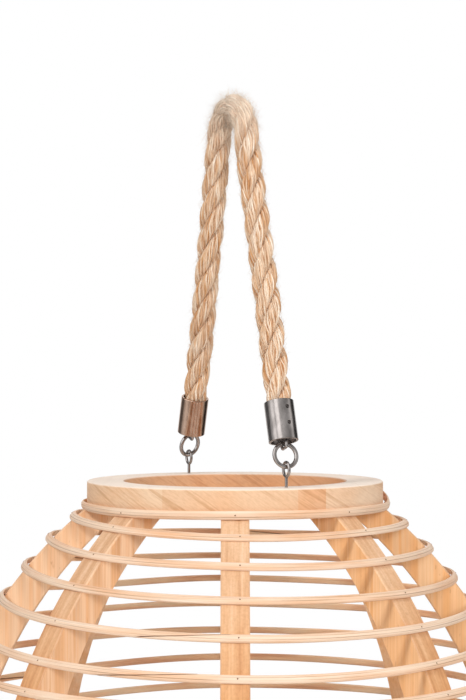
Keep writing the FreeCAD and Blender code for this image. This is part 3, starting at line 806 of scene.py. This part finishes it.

# %% [markdown]
# ## Wood of the ribs
# The ribs are sawn from straight boards, so their grain runs straight up whatever way the rib bends, and
# on the flat sides it shows as soft upright lines. The bowed outer edge is sawn across the grain, which
# leaves it duller; it is drawn duller at the shoulder and ruddier lower down, and its eased corners get a
# painted highlight. The ribs on the right are drawn darker and ruddier: painted shade. One finish could
# serve all ribs, but then their grain would run on from one to the next. Instead, each rib's finish turns
# the pattern to the rib's own direction, and the direction that a face looks in tells edge, corner and
# side apart.

# %% Rib finish
RIGHT_SHADE, RIGHT_SHADE_SIDE = (-2, -8, -18), math.radians(22)
RIB_LIGHT, RIB_DARK = np.array([247, 212, 178]), np.array([238, 188, 142])
EDGE_DULL_ABOVE, EDGE_RUDDY_BELOW = 0.39, 0.30
RIB_SEED = 100


def rib_wood(index):
    """Upright grain on the sides, sawn colour where a face looks outwards, painted highlight where it
    looks aslant.
    """
    made = Finish("rib_wood_%d" % (index + 1), Roughness=0.6, Specular_IOR_Level=0.3)
    rng = np.random.default_rng(RIB_SEED + index)
    middle = np.array(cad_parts["rib_%d" % (index + 1)].bound_box).mean(axis=0)
    facing = math.atan2(middle[1], middle[0])
    own_place = tuple(float(x) for x in rng.uniform(-0.5, 0.5, 3))
    turned = made.where("Object", (1, 1, 1), (0, 0, -facing), own_place)
    lines = made.noise(made.stretch(turned, (230, 60, 4)), 1.0, 3, 0.5, 0.3)
    fine = made.noise(made.stretch(turned, (900, 500, 22)), 1.0, 3, 0.6)
    slow = made.noise(made.stretch(turned, (30, 30, 8)), 1.0, 2, 0.5)
    # Ribs that face the right get darker, ruddier colours: painted shade.
    right_shade = max(0.0, math.cos(facing + RIGHT_SHADE_SIDE)) * np.array(RIGHT_SHADE)
    light = colour(*(RIB_LIGHT + rng.uniform(-4, 3) + right_shade))
    dark = colour(*(RIB_DARK + rng.uniform(-5, 5) + right_shade))
    sides = made.ramp(lines, [(0.36, dark), (0.56, light), (0.62, light), (0.72, dark)])
    drifted = made.mix(made.span(slow, 0.40, 0.70, 0.0, 0.55), sides, (*dark, 1))
    saw = made.noise(made.stretch(turned, (25, 260, 6)), 1.0, 4, 0.6, 0.2)
    high_edge = made.ramp(saw, [(0.32, colour(200, 150, 112)), (0.50, colour(220, 178, 141)),
                                (0.68, colour(232, 196, 164))])
    low_edge = made.ramp(saw, [(0.32, colour(190, 128, 80)), (0.50, colour(211, 152, 101)),
                               (0.68, colour(226, 174, 126))])
    # The outer edge is drawn duller at the shoulder and darker, ruddier lower down.
    lower = made.span(made.axes()["Z"], EDGE_DULL_ABOVE, EDGE_RUDDY_BELOW)
    edge = made.mix(lower, high_edge, low_edge)
    looks = made.node("TexCoord").outputs["Normal"]
    out = made.measure("DOT_PRODUCT", looks, (math.cos(facing), math.sin(facing), 0.0))
    faced = made.mix(made.span(out, 0.35, 0.6, 0.0, 0.9), drifted, edge)
    aside = made.measure("DOT_PRODUCT", looks, (-math.sin(facing), math.cos(facing), 0.0))
    aside = made.math("ABSOLUTE", aside)
    # Faces that look aslant, the eased corners, get a paler colour: a painted highlight.
    corner = made.math("MULTIPLY", made.span(aside, 0.3, 0.5), made.span(aside, 0.8, 0.95, 1.0, 0.0))
    corner_highlit = made.mix(made.math("MULTIPLY", corner, 0.2), faced, paint(240, 212, 186))
    flecks = made.noise(made.stretch(turned, (420, 420, 120)), 1.0, 2, 0.5)
    flecked = made.mix(made.span(flecks, 0.68, 0.76, 0.0, 0.4), corner_highlit, paint(188, 132, 88))
    fibre = made.ramp(fine, [(0.35, (0.90, 0.86, 0.82)), (0.60, (1, 1, 1))])
    fibred = made.mix(0.8, flecked, fibre, "MULTIPLY")
    return made.join(Base_Color=fibred, Normal=made.bump(fine, 0.25, 0.0002))


for k in range(RIBS):
    dress(["rib_%d" % (k + 1)], rib_wood(k))
print("rib finishes", RIBS)

# %% [markdown]
# ## Glued boards
# The ring and the base are cut from a panel of glued strips that run from front to back, so the front of
# the ring shows end grain: growth rings that slant across each strip. The ring's back half shows no
# joints, so it has one colour. Each strip could be a solid of its own. Instead, a stepped ramp across the
# panel gives each strip its colour, and the growth rings are noise drawn out along the strip and along
# the slant. Height and distance from the axis tell the top, which is made paler with painted light,
# from the bore, which is darker.

# %% Panel finish
RING_STRIPS = [-0.100, -0.047, 0.0399, 0.0574]
RING_TONES = [(237, 205, 173), (232, 194, 159), (231, 184, 145), (238, 207, 177)]
BASE_STRIPS = [-0.165, -0.110, -0.058, -0.004, 0.040, 0.082, 0.128]
BASE_TONES = [(244, 208, 172), (248, 200, 156), (250, 207, 168), (240, 196, 152), (246, 204, 166),
              (236, 200, 166), (248, 204, 162)]
RING_REACH, BASE_REACH = 0.1005, 0.166
RING_JOINTS_END, BASE_JOINTS_END, JOINT_BLUR = 0.0, 0.2, 0.0005
PANEL_SLANT = math.radians(34)
RING_BORE, NO_BORE = 0.075, -0.01
BORE_BEGINS, BORE_FULL = 0.0008, 0.0003
TOP_LIGHT_BEGINS, TOP_LIGHT_FULL = 0.0010, 0.0002


def panel_wood(name, strips, tones, reach, joints_end, top, bore):
    """A tone for each strip where y is under joints_end, growth rings, painted light on the top and a
    darker bore.
    """
    made = Finish(name, Roughness=0.6, Specular_IOR_Level=0.3)
    where = made.where("Object")
    place = made.axes()
    across = made.span(place["X"], -reach, reach)
    starts = [(x + reach) / (2 * reach) for x in strips]
    tone = made.ramp(across, [(s, colour(*t)) for s, t in zip(starts, tones)], "CONSTANT")
    front = made.span(place["Y"], joints_end - JOINT_BLUR, joints_end + JOINT_BLUR, 1.0, 0.0)
    tone = made.mix(front, paint(*tones[1]), tone)
    slanted = made.where("Object", (1, 1, 1), (0, -PANEL_SLANT, 0))
    rings = made.noise(made.stretch(slanted, (14, 3, 360)), 1.0, 3, 0.55, 0.4)
    fine = made.noise(made.stretch(slanted, (260, 30, 900)), 1.0, 3, 0.6)
    slow = made.noise(made.stretch(where, (26, 6, 26)), 1.0, 2, 0.5)
    late = made.ramp(rings, [(0.34, (0.80, 0.70, 0.60)), (0.44, (1, 1, 1)), (0.60, (1, 1, 1)),
                             (0.68, (0.88, 0.80, 0.72))])
    ringed = made.mix(0.75, tone, late, "MULTIPLY")
    warm = made.mix(made.span(slow, 0.42, 0.7, 0.0, 0.7), ringed,
                    made.mix(1.0, ringed, paint(252, 226, 200), "MULTIPLY"))
    fibre = made.ramp(fine, [(0.35, (0.88, 0.84, 0.80)), (0.60, (1, 1, 1))])
    fibred = made.mix(0.7, warm, fibre, "MULTIPLY")
    # The top face is made paler here: painted light.
    top_light = made.span(place["Z"], top - TOP_LIGHT_BEGINS, top - TOP_LIGHT_FULL, 0.0, 0.75)
    top_lit = made.mix(top_light, fibred, paint(254, 242, 230))
    away = made.measure("LENGTH", made.stretch(where, (1, 1, 0)))
    shaded = made.mix(1.0, top_lit, paint(236, 224, 216), "MULTIPLY")
    bored = made.mix(made.span(away, bore + BORE_BEGINS, bore + BORE_FULL), top_lit, shaded)
    return made.join(Base_Color=bored, Normal=made.bump(fine, 0.25, 0.0002))


ring_wood = panel_wood("ring_wood", RING_STRIPS, RING_TONES, RING_REACH,
                       RING_JOINTS_END, RING_TOP, RING_BORE)
base_wood = panel_wood("base_wood", BASE_STRIPS, BASE_TONES, BASE_REACH,
                       BASE_JOINTS_END, BASE_TOP, NO_BORE)
dress(["top_ring"], ring_wood)
dress(["base_board", "rib_dowels"], base_wood)
print("panel finishes on top_ring, base_board and rib_dowels")

# %% [markdown]
# ## Metal
# The ferrules, links and eyes are nickel plated: bright, a little grey, with faint smears. The back
# ferrule is drawn brown: a painted reflection of the wood and rope round it. The front one is darker in
# the dents that grip the rope, which is wherever the surface lies nearer to the ferrule's axis than its
# own radius. The brads are bare steel, browner still, and the base screws plain zinc. All of them come
# from one function, because they differ only in colour and gloss.

# %% Metal finishes
FERRULE_RADIUS = 0.0097
DENT_BEGINS, DENT_DARK = 0.00004, 0.00022
DENTS_MIDDLE, DENTS_REACH = 0.0116, 0.0100


def dark_in_dents(made, base):
    """Dark where a point's distance from the ferrule's axis, |(point - end) x axis|, is under its radius,
    between the ferrule's two rims, whose place is (point - end) . axis."""
    axis = rope_tangent[0]
    place = made.vector("SUBTRACT", made.where("Object"), front_end)
    away = made.measure("LENGTH", made.vector("CROSS_PRODUCT", place, axis))
    along = made.measure("DOT_PRODUCT", place, axis)
    from_middle = made.math("ABSOLUTE", made.math("SUBTRACT", along, DENTS_MIDDLE))
    dent = made.span(away, FERRULE_RADIUS - DENT_BEGINS, FERRULE_RADIUS - DENT_DARK, 0.0, 0.8)
    between_rims = made.span(from_middle, DENTS_REACH + DENT_DARK, DENTS_REACH)
    return made.mix(made.math("MULTIPLY", dent, between_rims), base, paint(62, 52, 48))


def metal(name, pale, dull, rough_low, rough_high, dented=False):
    """Plating whose smears run from dull to pale and from rough_low to rough_high, finely pitted."""
    made = Finish(name, Metallic=1.0)
    smear = made.noise(made.where("Object", (180, 180, 60)), 1.0, 4, 0.6)
    pits = made.noise(made.where("Object"), 1600.0, 2, 0.5)
    base = made.ramp(smear, [(0.35, dull), (0.65, pale)])
    base = dark_in_dents(made, base) if dented else base
    rough = made.span(smear, 0.3, 0.7, rough_low, rough_high)
    return made.join(Base_Color=base, Roughness=rough, Normal=made.bump(pits, 0.06, 0.0002))


NICKEL = (colour(182, 175, 172), colour(142, 136, 133), 0.12, 0.26)
nickel = metal("nickel", *NICKEL)
dented_nickel = metal("dented_nickel", *NICKEL, dented=True)
# The back ferrule's brown is a painted reflection of the wood and rope round it.
reflection_nickel = metal("nickel_painted_reflection", colour(206, 176, 156), colour(164, 132, 112), 0.12, 0.26)
zinc = metal("zinc", colour(190, 190, 188), colour(150, 150, 150), 0.3, 0.5)
brown_steel = metal("brown_steel", colour(176, 136, 106), colour(132, 98, 74), 0.5, 0.7)
fittings = ("screw_eye_", "link_ring_", "staple_", "ferrule_")
bright = [fitting + end for fitting in fittings for end in ("front", "back")]
dress(bright, nickel)
dress(["ferrule_front"], dented_nickel)
dress(["ferrule_back"], reflection_nickel)
dress(["base_screws"], zinc)
brads.data.materials.append(brown_steel)
print("metal on", bright, "base_screws and", brads.name)

# %% [markdown]
# ## Glass, wax and wick
# The glass is clear soda glass with a little grey in it. Its foot is ground flat, as such cylinders
# are, so the underside is matt and lets light out of the thick floor instead of trapping it. The
# candle is ivory wax that light enters a short way, which a subsurface shader gives, and the wick is
# cotton with a burnt tip.

# %% Glass, wax and wick finishes
GROUND_FOOT = 0.0006
GROUND_ROUGHNESS = 0.75
BURNT_FROM, BURNT_FULL = 0.138, 0.143


def clear_glass():
    """Smooth but for a faint haze, and rough at its ground foot."""
    made = Finish("clear_glass", Transmission_Weight=1.0, IOR=1.47, Base_Color=paint(250, 250, 249))
    haze = made.noise(made.where("Object", (20, 20, 20)), 1.0, 3, 0.6)
    rough = made.span(haze, 0.35, 0.75, 0.0, 0.03)
    foot = float(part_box("glass_cylinder")[0][2])
    ground = made.span(made.axes()["Z"], foot, foot + GROUND_FOOT, GROUND_ROUGHNESS, 0.0)
    return made.join(Roughness=made.math("MAXIMUM", rough, ground))


def ivory_wax():
    """Cloudy ivory that lets light in by millimetres."""
    made = Finish("ivory_wax", Roughness=0.42, Subsurface_Weight=0.35, Subsurface_Scale=0.4,
                  Subsurface_Radius=(0.02, 0.012, 0.007))
    cloud = made.noise(made.where("Object"), 45.0, 4, 0.55)
    base = made.ramp(cloud, [(0.35, colour(243, 232, 208)), (0.65, colour(250, 243, 226))])
    return made.join(Base_Color=base, Normal=made.bump(cloud, 0.12, 0.001))


def cotton_wick():
    """Slanting waves of a plait, burnt dark towards the tip."""
    made = Finish("cotton_wick", Roughness=0.95)
    burnt = made.span(made.axes()["Z"], BURNT_FROM, BURNT_FULL)
    inputs = {"Vector": made.where("Object", (1, 1, 1), (0.5, 0, 0)), "Scale": 900.0}
    plait = made.node("TexWave", inputs, bands_direction="Z").outputs["Fac"]
    cotton = made.ramp(plait, [(0.2, colour(206, 196, 172)), (0.8, colour(240, 234, 216))])
    return made.join(Base_Color=made.mix(burnt, cotton, paint(34, 28, 25)),
                     Normal=made.bump(plait, 0.5, 0.0004))


dress(["glass_cylinder"], clear_glass())
dress(["pillar_candle"], ivory_wax())
dress(["candle_wick"], cotton_wick())
print("glass, wax and wick dressed")

# %% [markdown]
# ## Floor
# The lantern stands on a plain pale floor. A large plane would end in a line across the picture, so the
# floor is a disc that turns clear towards its rim, and has no edge.

# %% Floor
FLOOR_RADIUS, FLOOR_RINGS, FLOOR_SIDES = 1.3, 12, 96
FLOOR_HUB, FLOOR_DROP = 0.02, 0.0005
RIM_FADES, RIM_GONE = 0.75, 1.25


def pale_floor():
    """Off-white, and clear where the distance from the middle is past the rim."""
    made = Finish("pale_floor", Roughness=0.8)
    speck = made.noise(made.where("Object"), 300.0, 2, 0.5)
    base = made.ramp(speck, [(0.3, colour(244, 243, 241)), (0.7, colour(250, 249, 247))])
    made.join(Base_Color=base)
    rim = made.span(made.measure("LENGTH", made.where("Object")), RIM_FADES, RIM_GONE)
    clear = made.node("BsdfTransparent").outputs[0]
    faded = made.node("MixShader", {0: rim, 1: made.shader.outputs[0], 2: clear}).outputs[0]
    made.tree.links.new(faded, made.tree.nodes["Material Output"].inputs["Surface"])
    return made.material


def floor_disc(radius, rings, sides):
    """Flat disc: point (i, j) is i even steps from the hub to the rim, turned j steps round the axis."""
    r = np.linspace(FLOOR_HUB, radius, rings)[:, None]
    a = np.linspace(0, 2 * math.pi, sides, endpoint=False)[None, :]
    points = np.stack([r * np.cos(a), r * np.sin(a), np.zeros((rings, sides)) - FLOOR_DROP], axis=-1)
    quads = grid_quads(rings, sides)[:, ::-1]
    mesh = bpy.data.meshes.new("floor")
    mesh.from_pydata(points.reshape(-1, 3).tolist(), [], quads.tolist() + [list(range(sides))])
    return mesh


floor = bpy.data.objects.new("floor", floor_disc(FLOOR_RADIUS, FLOOR_RINGS, FLOOR_SIDES))
floor.data.materials.append(pale_floor())
scene.collection.objects.link(floor)
print("floor", len(floor.data.polygons), "faces")

# %% [markdown]
# ## Lamps
# Studio light is soft. A sun lamp would draw hard shadows, so there are four round area lamps: one in
# front, a little above the camera, one high on the left, and weaker ones on the right and above. Metal
# doesn't mirror them, because the room that it mirrors is drawn in the next step.

# %% Lamps
LAMPS = {
    "front": {"place": (0.3, -2.0, 0.85), "size": 0.5, "power": 12},
    "right": {"place": (1.5, -0.9, 1.2), "size": 0.5, "power": 11},
    "left": {"place": (-1.0, -1.3, 1.4), "size": 0.36, "power": 16},
    "top": {"place": (0.1, -0.3, 2.2), "size": 0.8, "power": 5},
}
LAMP_AIM = (0, 0, 0.4)


def area_lamp(name, place, size, power):
    """Round lamp turned from straight down, by the angle to the upright and then round it, to its aim."""
    data = bpy.data.lights.new(name, "AREA")
    data.shape, data.size, data.energy = "DISK", size, power
    lamp = bpy.data.objects.new(name, data)
    scene.collection.objects.link(lamp)
    lamp.location = place
    lamp.visible_glossy = False
    away = np.array(place) - np.array(LAMP_AIM)
    upright = math.acos(away[2] / np.linalg.norm(away))
    lamp.rotation_euler = (upright, 0, math.atan2(away[0], -away[1]))


for name, lamp in LAMPS.items():
    area_lamp(name, **lamp)
print("lamps", list(LAMPS))

# %% [markdown]
# ## Backdrop
# The white behind the lantern is the world's colour for what the camera and the glass see, so it costs
# the lantern no extra light, and an even glow lights it from all round. A photograph of a room could be
# mirrored in the metal. Here a few ramps draw one: the same white behind the lantern, then dark flags at
# the sides, and in front a grey room with bright strips, which draw the upright lines on the ferrules,
# all of it brighter towards the ceiling.

# %% Backdrop
WHITE = (1, 1, 1, 1)
GLOW_TONE, GLOW = (1, 0.985, 0.965, 1), 0.35
STUDIO_STRIPS = [(-1.0, 0.5), (-0.92, 1.3), (-0.80, 1.3), (-0.72, 0.6), (-0.55, 1.4), (-0.30, 1.4),
                 (-0.12, 0.5), (0.30, 0.38), (0.70, 0.26), (0.86, 0.35), (0.96, 0.9)]
FLAG_BEGINS, FLAG_FULL, DARK_FLAG = 0.05, 0.25, 0.12
WALL_BEGINS, WALL_FULL = 0.72, 0.9
FLOOR_SHARE, CEILING_SHARE = 0.45, 1.75


def mirrored_room(made):
    """Strips by the X of the direction, times flags by its Y, white at high Y, brighter with its Z."""
    aim = made.axes("Generated")
    stops = [((place + 1) / 2, (level, level, level)) for place, level in STUDIO_STRIPS]
    strips = made.ramp(made.span(aim["X"], -1.0, 1.0), stops)
    flags = made.span(aim["Y"], FLAG_BEGINS, FLAG_FULL, 1.0, DARK_FLAG)
    front_half = made.mix(1.0, strips, flags, "MULTIPLY")
    all_round = made.mix(made.span(aim["Y"], WALL_BEGINS, WALL_FULL), front_half, WHITE)
    overhead = made.span(aim["Z"], -0.5, 0.5, FLOOR_SHARE, CEILING_SHARE)
    return made.node("Background", {"Color": all_round, "Strength": overhead}).outputs[0]


def studio():
    """White for camera and transmission rays, the mirrored room for glossy rays, glow for the rest."""
    world = bpy.data.worlds.new("studio")
    world.use_nodes = True
    made = ShaderTree(world.node_tree)
    glow = made.node("Background", {"Color": GLOW_TONE, "Strength": GLOW}).outputs[0]
    wall = made.node("Background", {"Color": WHITE, "Strength": 1.0}).outputs[0]
    ray = made.node("LightPath").outputs
    rays = {0: ray["Is Camera Ray"], 1: ray["Is Transmission Ray"]}
    seen = made.node("Math", rays, operation="ADD", use_clamp=True).outputs[0]
    unseen = made.node("MixShader", {0: ray["Is Glossy Ray"], 1: glow, 2: mirrored_room(made)}).outputs[0]
    shown = made.node("MixShader", {0: seen, 1: unseen, 2: wall}).outputs[0]
    made.tree.links.new(shown, made.tree.nodes["World Output"].inputs["Surface"])
    return world


scene.world = studio()
scene.view_settings.view_transform = "Standard"
print("world", scene.world.name, "with", len(scene.world.node_tree.nodes), "nodes")
